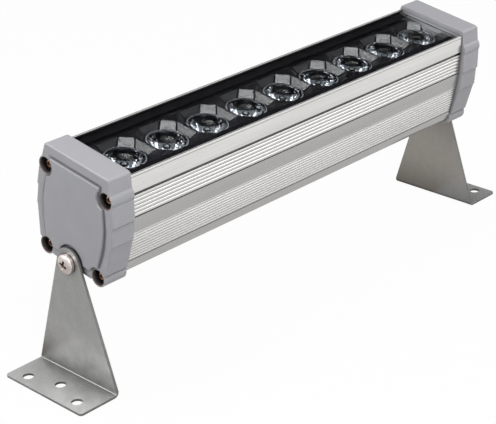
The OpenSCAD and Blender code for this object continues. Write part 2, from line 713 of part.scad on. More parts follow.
// Triangular plate with a rounded top, drawn as Y and Z down to the fold
module plate_section() {
    foot_z = sheet_t + fold_r;
    drop = pivot_h - foot_z;
    turn = acos(bracket_top_r / sqrt(pow(bracket_w / 2, 2) + pow(drop, 2))) - atan(drop / (bracket_w / 2));
    difference() {
        union() {
            polygon(mirrored([[bracket_top_r * cos(turn), pivot_h + bracket_top_r * sin(turn)],
                [bracket_w / 2, foot_z]]));
            translate([0, pivot_h]) circle(r = bracket_top_r, $fn = round_fn);
        }
        translate([0, pivot_h]) circle(r = pivot_d / 2 + pivot_fit, $fn = round_fn);
    }
}
module bracket(left) {
    fold_x = plate_x + sheet_t + fold_r;
    foot_z = sheet_t + fold_r;
    half = bracket_w / 2;
    color("#8f8f8d") at_end(left) {
        along(plate_x, plate_x + sheet_t) plate_section();
        intersection() {
            translate([fold_x, half, foot_z]) rotate([90, 0, 0]) difference() {
                cylinder(r = foot_z, h = bracket_w, $fn = round_fn);
                translate([0, 0, -1]) cylinder(r = fold_r, h = bracket_w + 2, $fn = round_fn);
            }
            box([plate_x, -half, 0], [fold_x, half, foot_z]);
        }
        difference() {
            union() {
                box([fold_x, -half, 0], [foot_x - foot_corner_r, half, sheet_t]);
                box([fold_x, -half + foot_corner_r, 0], [foot_x, half - foot_corner_r, sheet_t]);
                for (s = [-1, 1])
                    post(foot_x - foot_corner_r, s * (half - foot_corner_r), 0, sheet_t, foot_corner_r);
            }
            for (s = [-1, 1]) post(plate_x + fix_out, s * fix_half, -1, sheet_t + 1, fix_d / 2);
            post(plate_x + fix_mid, 0, -1, sheet_t + 1, fix_d / 2);
        }
    }
}
module bracket_left() { bracket(true); }
module bracket_right() { bracket(false); }

housing();
end_cap_left();
end_cap_right();
cap_gasket_left();
cap_gasket_right();
cap_screws_left();
cap_screws_right();
glass_cover();
glass_seal_front();
glass_seal_rear();
lens_tray();
thermal_pad();
light_board();
board_screws();
driver_case();
driver_board();
driver_components();
driver_cover();
light_leads();
gland_body();
gland_gasket();
gland_seal();
gland_nut();
gland_lock_nut();
pivot_screw_left();
pivot_screw_right();
friction_washer_left();
friction_washer_right();
bracket_left();
bracket_right();
for (i = [0:light_count - 1]) {
    led(i);
    lens_holder(i);
    lens(i);
}
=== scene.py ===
"""Looks of a linear LED wall washer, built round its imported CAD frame.

Shapes are drawn in millimetres, in the frames the CAD draws them in, and carried to
metres at the end. Lamp pieces are drawn upright round the pivot axis, X along the lamp.
"""
import json
import logging
import math
from dataclasses import dataclass, replace
from enum import Enum
from typing import Callable, Iterable

import bmesh
import bpy
from mathutils import Matrix, Vector


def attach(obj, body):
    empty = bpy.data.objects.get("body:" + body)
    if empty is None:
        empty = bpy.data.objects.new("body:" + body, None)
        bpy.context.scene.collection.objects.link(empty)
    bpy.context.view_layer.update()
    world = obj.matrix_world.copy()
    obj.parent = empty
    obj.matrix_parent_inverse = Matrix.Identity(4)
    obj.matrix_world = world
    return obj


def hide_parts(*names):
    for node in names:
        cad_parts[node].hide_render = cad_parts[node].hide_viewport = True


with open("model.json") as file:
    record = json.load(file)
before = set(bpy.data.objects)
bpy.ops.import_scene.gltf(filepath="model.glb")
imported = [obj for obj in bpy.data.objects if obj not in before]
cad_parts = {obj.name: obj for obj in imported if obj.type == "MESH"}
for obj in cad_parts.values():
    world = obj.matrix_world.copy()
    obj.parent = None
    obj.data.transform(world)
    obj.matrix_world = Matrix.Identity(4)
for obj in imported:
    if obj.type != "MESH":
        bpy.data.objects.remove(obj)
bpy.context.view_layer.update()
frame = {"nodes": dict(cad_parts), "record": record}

log = logging.getLogger("wall_washer")

Shape = bmesh.types.BMesh
Edge = bmesh.types.BMEdge
Face = bmesh.types.BMFace
Tree = bpy.types.NodeTree
Socket = bpy.types.NodeSocket
Material = bpy.types.Material
Triple = tuple[float, float, float]
Outline = list[Vector]
PointRule = Callable[[Vector], float]

ROWS = frame["record"]["subparts"]
BODIES = frame["record"]["behaviour"]["bodies"]

MM = 0.001
PIVOT_HEIGHT = 67.8
REST_TILT = 9.4
SHEET_FRAME = Matrix.Scale(MM, 4)
LAMP_FRAME = (SHEET_FRAME @ Matrix.Translation((0, 0, PIVOT_HEIGHT))
              @ Matrix.Rotation(math.radians(REST_TILT), 4, "X"))
# Edges that turn more than this stay sharp, where a piece asks for nothing else
SHARP_DEG = 32.0
# Two places nearer than this, in millimetres, count as the same
SAME = 0.01
# Distance in millimetres that a mesh tool takes for none
TINY = 0.001
# Faces that turn less than this make one flat face
FLAT_DEG = 0.4
# Where the cap screws sit, as distances from the middle plane and the pivot axis
CAP_SCREW_PLACES = ((22.5, 46.5), (19.8, 0.2))
CAP_SCREW_SEAT = 145.7


class End(Enum):
    """The two ends of the lamp, as the sign of X."""

    LEFT = -1
    RIGHT = 1

    @property
    def word(self) -> str:
        """Name of the end, as the CAD nodes have it."""
        return self.name.lower()


# Materials

# Nearly all values of a noise lie in this range
NOISE_RANGE = {"From Min": 0.3, "From Max": 0.7}
# Sockets of a Mix node that mixes colours
MIX_SHARE, MIX_FIRST, MIX_SECOND, MIX_RESULT = 0, 6, 7, 2


def linear(hex_colour: str) -> tuple[float, float, float, float]:
    """Turns an sRGB hex colour to a linear colour.

    Args:
        hex_colour: Six hex digits after a hash.

    Returns:
        Red, green and blue as linear values, and an alpha of 1.
    """
    digits = hex_colour.lstrip("#")
    parts = [int(digits[i:i + 2], 16) / 255 for i in (0, 2, 4)]
    values = [c / 12.92 if c <= 0.04045 else ((c + 0.055) / 1.055) ** 2.4 for c in parts]
    return (*values, 1.0)


WHITE = linear("#ffffff")


def add_node(tree: Tree, kind: str, sockets: dict | None = None,
             **settings: object) -> bpy.types.Node:
    """Adds a node to a tree with its settings, values and links.

    Args:
        tree: The node tree that gets the node.
        kind: Blender's type name of the node, without ShaderNode before it.
        sockets: Input name or index to a value, or to an output socket to link from.
        **settings: Properties of the node itself.

    Returns:
        The new node.
    """
    node = tree.nodes.new("ShaderNode" + kind)
    for key, value in settings.items():
        setattr(node, key, value)
    for key, value in (sockets or {}).items():
        if isinstance(value, Socket):
            tree.links.new(value, node.inputs[key])
        else:
            node.inputs[key].default_value = value
    return node


def empty_material(name: str) -> tuple[Material, Tree]:
    """Makes a material whose node tree is still empty.

    Args:
        name: Name of the material.

    Returns:
        The material and its node tree.
    """
    material = bpy.data.materials.new(name)
    material.use_nodes = True
    material.node_tree.nodes.clear()
    return material, material.node_tree


def spots(tree: Tree, size_mm: float | Triple, detail: float) -> Socket:
    """Adds a noise whose spots have a real size.

    Args:
        tree: The node tree.
        size_mm: Size of a spot, or its sizes along X, Y and Z.
        detail: Number of finer layers.

    Returns:
        The noise's value.
    """
    sizes = size_mm if isinstance(size_mm, tuple) else (size_mm,) * 3
    place = add_node(tree, "TexCoord")
    scaled = add_node(tree, "Mapping", {
        "Vector": place.outputs["Object"], "Scale": [1 / (s * MM) for s in sizes]})
    noise = add_node(tree, "TexNoise", {
        "Vector": scaled.outputs[0], "Scale": 1.0, "Detail": detail})
    return noise.outputs[0]


@dataclass(frozen=True)
class Finish:
    """A real material: its tones, its shine, the real sizes of its pattern, and a painted shade in its
    hollows.
    """

    name: str
    colour: str
    second: str
    grain_mm: float | Triple
    mottle_mm: float | Triple
    roughness: float
    grain_mix: float = 0.4
    mottle_mix: float = 0.3
    swing: float = 0.08
    bump_mm: float = 0.01
    metallic: float = 0.0
    specular: float = 0.5
    # Painted shade: its colour, how far the occlusion looks in millimetres, its share where it is full, and
    # the openness below which it starts and at which it is full
    grime: str = "#1c1b1e"
    grime_mm: float = 3.0
    grime_mix: float = 0.0
    grime_from: float = 0.84
    grime_full: float = 0.28

    def material(self) -> Material:
        """Builds the node material.

        Returns:
            The material.
        """
        material, tree = empty_material(self.name)
        grain = spots(tree, self.grain_mm, detail=2.0)
        mottle = spots(tree, self.mottle_mm, detail=3.0)
        shares = [add_node(tree, "MapRange", {
            "Value": noise, **NOISE_RANGE, "To Min": 0.0, "To Max": mix}).outputs[0]
            for noise, mix in ((grain, self.grain_mix), (mottle, self.mottle_mix))]
        share = add_node(tree, "Math", dict(enumerate(shares)), operation="ADD", use_clamp=True)
        tone = add_node(tree, "Mix", {
            MIX_SHARE: share.outputs[0], MIX_FIRST: linear(self.colour),
            MIX_SECOND: linear(self.second)}, data_type="RGBA").outputs[MIX_RESULT]
        # Painted shade: the tone darkens towards the shade colour where ambient occlusion finds the surface
        # hidden
        if self.grime_mix:
            open_sky = add_node(tree, "AmbientOcclusion", {
                "Distance": self.grime_mm * MM}, samples=8)
            shade_share = add_node(tree, "MapRange", {
                "Value": open_sky.outputs["AO"], "From Min": self.grime_full, "From Max": self.grime_from,
                "To Min": self.grime_mix, "To Max": 0.0})
            tone = add_node(tree, "Mix", {
                MIX_SHARE: shade_share.outputs[0], MIX_FIRST: tone,
                MIX_SECOND: linear(self.grime)}, data_type="RGBA").outputs[MIX_RESULT]
        shine = add_node(tree, "MapRange", {
            "Value": mottle, **NOISE_RANGE, "To Min": max(self.roughness - self.swing, 0.0),
            "To Max": self.roughness + self.swing})
        relief = add_node(tree, "Bump", {
            "Height": grain, "Strength": 1.0, "Distance": self.bump_mm * MM})
        shader = add_node(tree, "BsdfPrincipled", {
            "Base Color": tone, "Roughness": shine.outputs[0], "Normal": relief.outputs[0],
            "Metallic": self.metallic, "Specular IOR Level": self.specular})
        add_node(tree, "OutputMaterial", {"Surface": shader.outputs[0]})
        return material


@dataclass(frozen=True)
class ClearFinish:
    """Clear glass or plastic, which lets light through to what is behind it."""

    name: str
    colour: str
    second: str
    smear_mm: float
    ior: float
    shadow: str = "#f4f4f4"

    def material(self) -> Material:
        """Builds the node material.

        Returns:
            The material.
        """
        material, tree = empty_material(self.name)
        tint = add_node(tree, "Mix", {
            MIX_SHARE: spots(tree, self.smear_mm, detail=3.0), MIX_FIRST: linear(self.colour),
            MIX_SECOND: linear(self.second)}, data_type="RGBA").outputs[MIX_RESULT]
        shader = add_node(tree, "BsdfPrincipled", {
            "Base Color": tint, "Roughness": 0.0, "IOR": self.ior, "Transmission Weight": 1.0})
        through = add_node(tree, "BsdfTransparent", {"Color": linear(self.shadow)})
        light = add_node(tree, "LightPath")
        mixed = add_node(tree, "MixShader", {
            0: light.outputs["Is Shadow Ray"], 1: shader.outputs[0], 2: through.outputs[0]})
        add_node(tree, "OutputMaterial", {"Surface": mixed.outputs[0]})
        return material


CAD_FINISHES: dict[str, Finish | ClearFinish] = {
    # Clear anodised extrusion: satin silver, with die lines along its length, and a painted shade in the
    # valleys of its ribs
    "anodised_profile": Finish(
        "anodised_extrusion", "#d6d5d3", "#bebdbb", grain_mm=(60, 0.35, 0.35), mottle_mm=(90, 9, 9),
        mottle_mix=0.2, roughness=0.24, swing=0.03, bump_mm=0.0015, metallic=1.0, grime="#4c4a47",
        grime_mm=1.5, grime_mix=0.9),
    # Painted pressure casting: bluish grey, with the fine bite of a powder coat, and a painted shade in its
    # hollows and gaps
    "painted_casting": Finish(
        "painted_casting", "#9e9ea2", "#929297", grain_mm=0.45, mottle_mm=14, roughness=0.34, swing=0.04,
        bump_mm=0.012, grime="#29292c", grime_mm=2.6, grime_mix=0.7, grime_from=0.92),
    # Black rubber: soft and dull, a little dusty
    "black_rubber": Finish(
        "black_rubber", "#161618", "#1f1f21", grain_mm=0.8, mottle_mm=12, mottle_mix=0.4, roughness=0.75),
    # Zinc-plated steel with a warm passivation: coppery where it turns from the light, with a dark brown
    # painted shade in its recesses
    "coppery_steel": Finish(
        "passivated_steel", "#d8bcae", "#b5743f", grain_mm=0.5, grain_mix=0.3, mottle_mm=2.2,
        mottle_mix=0.5, roughness=0.26, swing=0.05, bump_mm=0.002, metallic=1.0, grime="#2a1710",
        grime_mm=1.0, grime_mix=0.8),
    # Low-iron toughened glass
    "clear_glass": ClearFinish("toughened_glass", "#fdfefe", "#f6f9f9", smear_mm=30, ior=1.5),
    # Moulded black plastic with a soft gloss, as of the tray behind the glass
    "black_gloss_plastic": Finish(
        "gloss_black_abs", "#100f12", "#18171a", grain_mm=0.5, grain_mix=0.3, mottle_mm=18,
        roughness=0.19, swing=0.02, bump_mm=0.0, specular=0.65),
    # Soft silicone heat pad
    "grey_pad": Finish(
        "silicone_heat_pad", "#8f9aa3", "#7d8890", grain_mm=0.6, grain_mix=0.5, mottle_mm=8, roughness=0.7),
    # White solder lacquer over an aluminium-core board
    "white_board": Finish(
        "white_lacquered_board", "#e6e6e1", "#d6d6d0", grain_mm=0.7, grain_mix=0.3, mottle_mm=10,
        roughness=0.35),
    # Bright zinc on small screws
    "zinc_steel": Finish(
        "zinc_plated_steel", "#c6c6c4", "#9fa0a0", grain_mm=0.6, mottle_mm=3, mottle_mix=0.4,
        roughness=0.3, swing=0.06, bump_mm=0.005, metallic=1.0),
    # Moulded white case of the driver, faintly pebbled
    "white_plastic": Finish(
        "white_polycarbonate", "#dadad7", "#cbcbc8", grain_mm=0.9, mottle_mm=15, roughness=0.5),
    # Green solder lacquer on glass-fibre laminate
    "green_board": Finish(
        "green_lacquered_laminate", "#33603f", "#274d33", grain_mm=0.5, mottle_mm=5, mottle_mix=0.4,
        roughness=0.35),
    # Sleeves and cases of electronic parts
    "dark_parts": Finish(
        "shrink_sleeve_pvc", "#38383c", "#2b2b30", grain_mm=0.7, mottle_mm=6, mottle_mix=0.4, roughness=0.4),
    # Red insulation of the light leads
    "red_lead": Finish(
        "red_pvc_insulation", "#b5382d", "#9d3027", grain_mm=0.8, mottle_mm=6, mottle_mix=0.4,
        roughness=0.45),
    # Moulded black nylon of gland and lens holders
    "black_plastic": Finish(
        "black_nylon", "#262629", "#323236", grain_mm=0.5, mottle_mm=9, roughness=0.48, swing=0.06,
        bump_mm=0.008),
    # Turned and polished stainless steel of the pivot screws, faintly warm, with a brown painted shade in its
    # recess and hollows
    "bright_steel": Finish(
        "turned_stainless_steel", "#e0d6d2", "#d3c4bd", grain_mm=0.5, grain_mix=0.15, mottle_mm=4,
        mottle_mix=0.2, roughness=0.3, swing=0.02, bump_mm=0.0, metallic=1.0, grime="#4a2f22",
        grime_mm=1.6, grime_mix=0.8),
    # Pressed fibre washer
    "grey_fibre": Finish(
        "grey_vulcanised_fibre", "#3c3c3f", "#2d2d30", grain_mm=0.4, grain_mix=0.5, mottle_mm=4,
        mottle_mix=0.4, roughness=0.8),
    # Cold-rolled stainless sheet, with a mottled satin skin, darkened by a painted shade where the floor, the
    # fold or the cap hides it
    "satin_steel": Finish(
        "cold_rolled_stainless", "#bebebd", "#a4a4a3", grain_mm=(0.5, 0.5, 1.0), mottle_mm=(6, 6, 8),
        mottle_mix=0.4, roughness=0.38, swing=0.05, bump_mm=0.002, metallic=1.0, grime="#3c3c3b",
        grime_mm=26.0, grime_mix=0.85, grime_from=1.0),
    # Ceramic package under a yellow phosphor layer
    "light_package": Finish(
        "phosphor_on_ceramic", "#e8d46c", "#efe6b8", grain_mm=0.3, grain_mix=0.5, mottle_mm=2,
        mottle_mix=0.5, roughness=0.4),
    # Clear moulded acrylic, tinted grey as a painted shade, so that the white surroundings seen through it
    # come out dim; it also lets less light through to the parts below
    "clear_lens": ClearFinish(
        "clear_acrylic", "#c9cdd4", "#aeb3bc", smear_mm=3, ior=1.49, shadow="#6a6a6a")}

# The extrusion inside its narrow groove, with a stronger painted shade for the groove's shadow
SHADED_GROOVE = replace(CAD_FINISHES["anodised_profile"], name="anodised_groove", grime="#52504d",
                 grime_mm=4.0, grime_from=1.0)
# Paint down in the counterbores, with a deep painted shade for the shadow in the bores
BORE_SHADE = replace(CAD_FINISHES["painted_casting"], name="thin_paint_in_bores", grime="#171718",
                     grime_mm=12.0, grime_mix=1.0)
# Bare rim of a counterbore, where the tool broke the paint and it has browned
BARE_RIM = replace(CAD_FINISHES["painted_casting"], name="browned_bore_rim", colour="#80665c",
                   second="#6d5850", roughness=0.45)
# The tray's plastic in the seams of the wells, where the mould left it dull
SEAM_BLACK = replace(CAD_FINISHES["black_gloss_plastic"], name="dull_abs_in_seams", roughness=0.7,
                     specular=0.1)
# Sheared edge of the sheet, dull with its torn grain, with a lighter painted shade than the sheet
SHEARED_EDGE = replace(CAD_FINISHES["satin_steel"], name="sheared_steel_edge", colour="#8f8f8d",
                       second="#6c6c6b", roughness=0.6, bump_mm=0.03, grime_mix=0.5)
# Black ceramic print, fired on the border of the glass
CERAMIC_PRINT = Finish("fired_ceramic_print", "#121113", "#1a191b", grain_mm=0.6, grain_mix=0.3,
                       mottle_mm=9, roughness=0.6, specular=0.0)
# Ground arris of the pane, a pale hairline
GROUND_EDGE = Finish("ground_glass_edge", "#b6babc", "#9da1a4", grain_mm=0.4, mottle_mm=6,
                     mottle_mix=0.4, roughness=0.6)
# Matt moulded rim, where the lens is held, painted pale grey as the thin light ring of the rim's highlight
LENS_RIM_HIGHLIGHT = Finish("frosted_acrylic", "#8c9096", "#787c83", grain_mm=0.3, mottle_mm=5, roughness=0.35)


class Workshop:
    """Holds each finish's material once, and hands finished pieces to the frame."""

    def __init__(self) -> None:
        """Starts with no material made."""
        self.made: dict[str, Material] = {}

    def material(self, finish: Finish | ClearFinish) -> Material:
        """Material of a finish, made when it is first asked for.

        Args:
            finish: The finish.

        Returns:
            The material.
        """
        if finish.name not in self.made:
            self.made[finish.name] = finish.material()
        return self.made[finish.name]

    def dress_frame(self) -> None:
        """Gives every CAD node the finish of its slot."""
        for row in ROWS:
            mesh = frame["nodes"][row["node"]].data
            mesh.materials.clear()
            mesh.materials.append(self.material(CAD_FINISHES[row["material_slot"]]))
        log.info("finishes on %d CAD nodes", len(ROWS))

    def hand_in(self, shape: Shape, name: str, node: str, place: Matrix = LAMP_FRAME,
                sharp_deg: float = SHARP_DEG, inlays: Iterable[Finish] = ()) -> None:
        """Makes a piece of a shape that stands for a CAD node, and puts it in the frame.

        Args:
            shape: The shape in millimetres, in its drawing frame. It is freed.
            name: Name of the piece.
            node: The CAD node it stands for.
            place: Matrix from the drawing frame to metres in the row frame.
            sharp_deg: Edges that turn more than this stay sharp.
            inlays: Finishes of the faces whose material index is 1, 2 and so on.
        """
        row = next(r for r in ROWS if r["node"] == node)
        body = next(b for b, nodes in BODIES.items() if node in nodes)
        piece = new_object(shape, name, place, sharp_deg)
        for finish in (CAD_FINISHES[row["material_slot"]], *inlays):
            piece.data.materials.append(self.material(finish))
        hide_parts(node)
        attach(piece, body)
        log.info("%s: %d faces, on %s", name, len(piece.data.polygons), body)


# Mesh tools


def mesh_of(shape: Shape, name: str = "scratch") -> bpy.types.Mesh:
    """Turns a shape to a mesh.

    Args:
        shape: The shape. It is freed.
        name: Name of the mesh.

    Returns:
        The mesh.
    """
    mesh = bpy.data.meshes.new(name)
    shape.to_mesh(mesh)
    shape.free()
    return mesh


def new_object(shape: Shape, name: str, place: Matrix, sharp_deg: float = SHARP_DEG) -> bpy.types.Object:
    """Turns a shape to an object at the origin, with its place in its mesh.

    Args:
        shape: The shape in millimetres. It is freed.
        name: Name of the object.
        place: Matrix to metres in the row frame.
        sharp_deg: Edges that turn more than this stay sharp.

    Returns:
        The object.
    """
    shape.transform(place)
    bmesh.ops.recalc_face_normals(shape, faces=shape.faces)
    for face in shape.faces:
        face.smooth = True
    mesh = mesh_of(shape, name)
    for stale in ("custom_normal", "sharp_edge", "sharp_face"):
        if stale in mesh.attributes:
            mesh.attributes.remove(mesh.attributes[stale])
    mesh.set_sharp_from_angle(angle=math.radians(sharp_deg))
    piece = bpy.data.objects.new(name, mesh)
    bpy.context.scene.collection.objects.link(piece)
    even = piece.modifiers.new("even_normals", "WEIGHTED_NORMAL")
    even.keep_sharp = True
    return piece


def cad_copy(node: str, place: Matrix = LAMP_FRAME) -> Shape:
    """Merged copy of a CAD node in millimetres of its drawing frame.

    Args:
        node: Name of the CAD node.
        place: Matrix from the drawing frame to the row frame.

    Returns:
        The copy, with its loose triangles joined to whole faces.
    """
    shape = bmesh.new()
    shape.from_mesh(frame["nodes"][node].data)
    shape.transform(place.inverted())
    bmesh.ops.remove_doubles(shape, verts=shape.verts, dist=3 * TINY)
    bmesh.ops.dissolve_limit(shape, angle_limit=math.radians(FLAT_DEG), verts=shape.verts,
                             edges=shape.edges)
    return shape


def round_edges(shape: Shape, radius: float, segments: int, wanted: Callable[[Edge], bool],
                least_deg: float = 25.0) -> list[Face]:
    """Rounds the sharp edges that a test picks.

    Args:
        shape: The shape.
        radius: Width of the rounding in millimetres.
        segments: Number of faces across the rounding.
        wanted: Test that picks an edge.
        least_deg: Edges that turn less than this are left.

    Returns:
        The faces of the rounding.
    """
    edges = [e for e in shape.edges
             if len(e.link_faces) == 2 and e.calc_face_angle(0) > math.radians(least_deg) and wanted(e)]
    made = bmesh.ops.bevel(shape, geom=edges, offset=radius, offset_type="OFFSET", segments=segments,
                           profile=0.5, affect="EDGES", clamp_overlap=False, loop_slide=False, material=-1)
    return made["faces"]


def split_at(shape: Shape, point: Vector | Triple, normal: Triple) -> None:
    """Splits the faces of a shape where a plane crosses them."""
    bmesh.ops.bisect_plane(shape, geom=[*shape.verts, *shape.edges, *shape.faces], dist=TINY,
                           plane_co=point, plane_no=normal)


def section_loops(shape: Shape, x: float) -> list[Outline]:
    """Closed outlines that a flat face of a shape has on the plane at x.

    Args:
        shape: Merged CAD copy.
        x: Place of the plane along the lamp.

    Returns:
        The outlines, the tallest first.
    """
    def in_plane(part: Face | Edge) -> bool:
        """True for a face or an edge that lies in the plane."""
        return all(abs(v.co.x - x) < SAME for v in part.verts)

    rim = dict.fromkeys(e for e in shape.edges if len(e.link_faces) == 2 and in_plane(e)
                        and in_plane(e.link_faces[0]) != in_plane(e.link_faces[1]))
    loops = []
    while rim:
        first = next(iter(rim))
        del rim[first]
        start, here = first.verts
        loop = [start.co.copy()]
        while here is not start:
            loop.append(here.co.copy())
            step = next(e for e in here.link_edges if e in rim)
            del rim[step]
            here = step.other_vert(here)
        loops.append(loop)
    return sorted(loops, key=lambda loop: min(p.z for p in loop) - max(p.z for p in loop))


def offset_dirs(loop: Outline) -> list[Vector]:
    """Inward direction of each corner of an outline, long enough to shift its sides by 1.

    Args:
        loop: Points of a closed outline in a plane across X.

    Returns:
        One direction for each point.
    """
    area = sum(a.y * b.z - b.y * a.z for a, b in zip(loop, loop[1:] + loop[:1]))
    turn = 1 if area > 0 else -1
    result = []
    for i, here in enumerate(loop):
        before = (here - loop[i - 1]).normalized()
        after = (loop[(i + 1) % len(loop)] - here).normalized()
        normal_before = Vector((0, -before.z, before.y)) * turn
        normal_after = Vector((0, -after.z, after.y)) * turn
        middle = (normal_before + normal_after).normalized()
        # A sharp corner goes at most twice as far as its sides
        result.append(middle / max(middle.dot(normal_before), 0.5))
    return result


def stack(loop: Outline, rings: list[tuple[PointRule, PointRule]]) -> Shape:
    """Closed shape of rings that follow an outline, each with its own inset and place.

    Args:
        loop: Points of the outline.
        rings: For each ring, functions that give a point's inset and its place along X.

    Returns:
        The shape, with a flat face at each end.
    """
    shape = bmesh.new()
    dirs = offset_dirs(loop)
    bottom = ring = [shape.verts.new(p) for p in loop]
    edges = [shape.edges.new((ring[i - 1], ring[i])) for i in range(len(ring))]
    for k, (inset, place) in enumerate(rings):
        if k:
            made = bmesh.ops.extrude_edge_only(shape, edges=edges)["geom"]
            edges = [g for g in made if isinstance(g, Edge)]
            fresh = {g for g in made if isinstance(g, bmesh.types.BMVert)}
            ring = [next(e.other_vert(v) for e in v.link_edges if e.other_vert(v) in fresh) for v in ring]
        for v, p, d in zip(ring, loop, dirs):
            v.co = Vector((place(p), p.y, p.z)) + d * inset(p)
    shape.faces.new(bottom)
    shape.faces.new(ring)
    bmesh.ops.recalc_face_normals(shape, faces=shape.faces)
    return shape


def combine(base: Shape, parts: Iterable[tuple[str, Shape]]) -> Shape:
    """Adds shapes to a base or cuts them from it.

    Args:
        base: The base shape. It is freed.
        parts: Pairs of UNION or DIFFERENCE and a shape, which is freed.

    Returns:
        The combined shape.
    """
    def scratch(shape: Shape) -> bpy.types.Object:
        """Object of a shape for the time that the modifiers need it.

        Args:
            shape: The shape. It is freed.

        Returns:
            The object.
        """
        thing = bpy.data.objects.new("scratch", mesh_of(shape))
        bpy.context.scene.collection.objects.link(thing)
        return thing

    body = scratch(base)
    tools = []
    for operation, shape in parts:
        tool = scratch(shape)
        step = body.modifiers.new("step", "BOOLEAN")
        step.operation, step.object, step.solver = operation, tool, "EXACT"
        tools.append(tool)
    bpy.context.view_layer.update()
    done = body.evaluated_get(bpy.context.evaluated_depsgraph_get())
    result = bmesh.new()
    result.from_mesh(done.to_mesh())
    done.to_mesh_clear()
    for thing in [body, *tools]:
        bpy.data.meshes.remove(thing.data)
    bmesh.ops.remove_doubles(result, verts=result.verts, dist=2 * TINY)
    bmesh.ops.dissolve_degenerate(result, edges=result.edges, dist=TINY)
    return result


def turned(profile: list[tuple[float, float]], centre: Triple, axis: Vector = Vector((1, 0, 0)),
           steps: int = 48) -> Shape:
    """Turns a profile to a solid of revolution.

    Args:
        profile: Points as place along the axis and radius. It starts and ends on the axis.
        centre: Point of the axis that the profile counts from.
        axis: X or Z.
        steps: Number of faces round it.

    Returns:
        The solid.
    """
    shape = bmesh.new()
    across = Vector((0, 0, 1)) if axis.x else Vector((1, 0, 0))
    verts = [shape.verts.new(Vector(centre) + axis * a + across * r) for a, r in profile]
    edges = [shape.edges.new(pair) for pair in zip(verts, verts[1:])]
    bmesh.ops.spin(shape, geom=verts + edges, cent=centre, axis=axis, dvec=(0, 0, 0),
                   angle=2 * math.pi, steps=steps, use_merge=True, use_duplicate=False)
    bmesh.ops.remove_doubles(shape, verts=shape.verts, dist=TINY)
    bmesh.ops.recalc_face_normals(shape, faces=shape.faces)
    return shape


def ease(value: float, start: float, span: float) -> float:
    """Share that grows softly from 0 at the start to 1 a span further on."""
    share = min(max((value - start) / span, 0.0), 1.0)
    return share * share * (3 - 2 * share)


# The lamp


@dataclass
class Housing:
    """Extruded body: lips beside the glass, a hairline under them, ribs and fins."""

    shop: Workshop
    lip_least_z: float = 56.15
    lip_round: float = 0.22
    lip_least_run: float = 100.0
    hairline_z: float = 54.9
    hairline_w: float = 0.35
    hairline_depth: float = 0.3
    hairline_least_y: float = 23.3
    groove_z: float = 45.5
    groove_w: float = 1.6
    groove_deeper: float = 0.5
    groove_least_y: float = 22.8

    def build(self) -> None:
        """Finishes a copy of the extrusion: rounded lips, hairlines and deeper grooves."""
        shape = cad_copy("housing")
        round_edges(shape, self.lip_round, segments=3,
                    wanted=lambda e: min(v.co.z for v in e.verts) > self.lip_least_z
                    and abs(e.verts[0].co.x - e.verts[1].co.x) > self.lip_least_run)
        self.hairline(shape)
        self.groove(shape)
        self.shop.hand_in(shape, "ribbed_body", "housing", sharp_deg=38, inlays=[SHADED_GROOVE])

    def hairline(self, shape: Shape) -> None:
        """Cuts the fine line below each lip.

        Args:
            shape: The extrusion.
        """
        for dz in (-self.hairline_w / 2, 0.0, self.hairline_w / 2):
            split_at(shape, (0, 0, self.hairline_z + dz), (0, 0, 1))
        for v in shape.verts:
            if abs(v.co.z - self.hairline_z) < SAME and abs(v.co.y) > self.hairline_least_y:
                v.co.y -= math.copysign(self.hairline_depth, v.co.y)

    def groove(self, shape: Shape) -> None:
        """Deepens the shadow groove of each side, and marks its faces for the finish that paints its shade.

        Args:
            shape: The extrusion.
        """
        half = self.groove_w / 2
        inside = [f for f in shape.faces if abs(f.normal.x) < 0.1
                  and abs(f.calc_center_median().z - self.groove_z) < half + SAME
                  and all(abs(v.co.z - self.groove_z) < half + 2 * SAME for v in f.verts)
                  and abs(f.calc_center_median().y) > self.groove_least_y]
        floor = {v for f in inside if abs(f.normal.z) < 0.5 for v in f.verts}
        for v in floor:
            v.co.y -= math.copysign(self.groove_deeper, v.co.y)
        for f in inside:
            f.material_index = 1


@dataclass
class FrontGlass:
    """Toughened pane with ground arrises, a hair clear of its seals."""

    shop: Workshop
    half_x: float = 136.5
    half_y: float = 22.5
    z: tuple[float, float] = (51.7, 55.7)
    clear: float = 0.03
    arris: float = 0.5
    print_y: float = 16.8
    print_x: float = 134.2

    def build(self) -> None:
        """Builds the pane, with its black print round the edge of its underside."""
        shape = bmesh.new()
        bmesh.ops.create_cube(shape, size=1)
        low, high = self.z
        bmesh.ops.scale(shape, verts=shape.verts, vec=(
            2 * (self.half_x - self.clear), 2 * (self.half_y - self.clear), high - low - self.clear))
        bmesh.ops.translate(shape, verts=shape.verts, vec=(0, 0, (low + high + self.clear) / 2))
        round_edges(shape, self.arris, segments=1, wanted=lambda e: True)
        for normal, reach in (((0, 1, 0), self.print_y), ((1, 0, 0), self.print_x)):
            for side in (-1, 1):
                split_at(shape, Vector(normal) * reach * side, normal)
        for face in shape.faces:
            c = face.calc_center_median()
            border = abs(c.y) > self.print_y or abs(c.x) > self.print_x
            ground = high - self.arris < c.z < high - SAME
            face.material_index = 2 if ground else int(border and c.z < high - self.arris)
        self.shop.hand_in(shape, "toughened_pane", "glass_cover", inlays=[CERAMIC_PRINT, GROUND_EDGE])


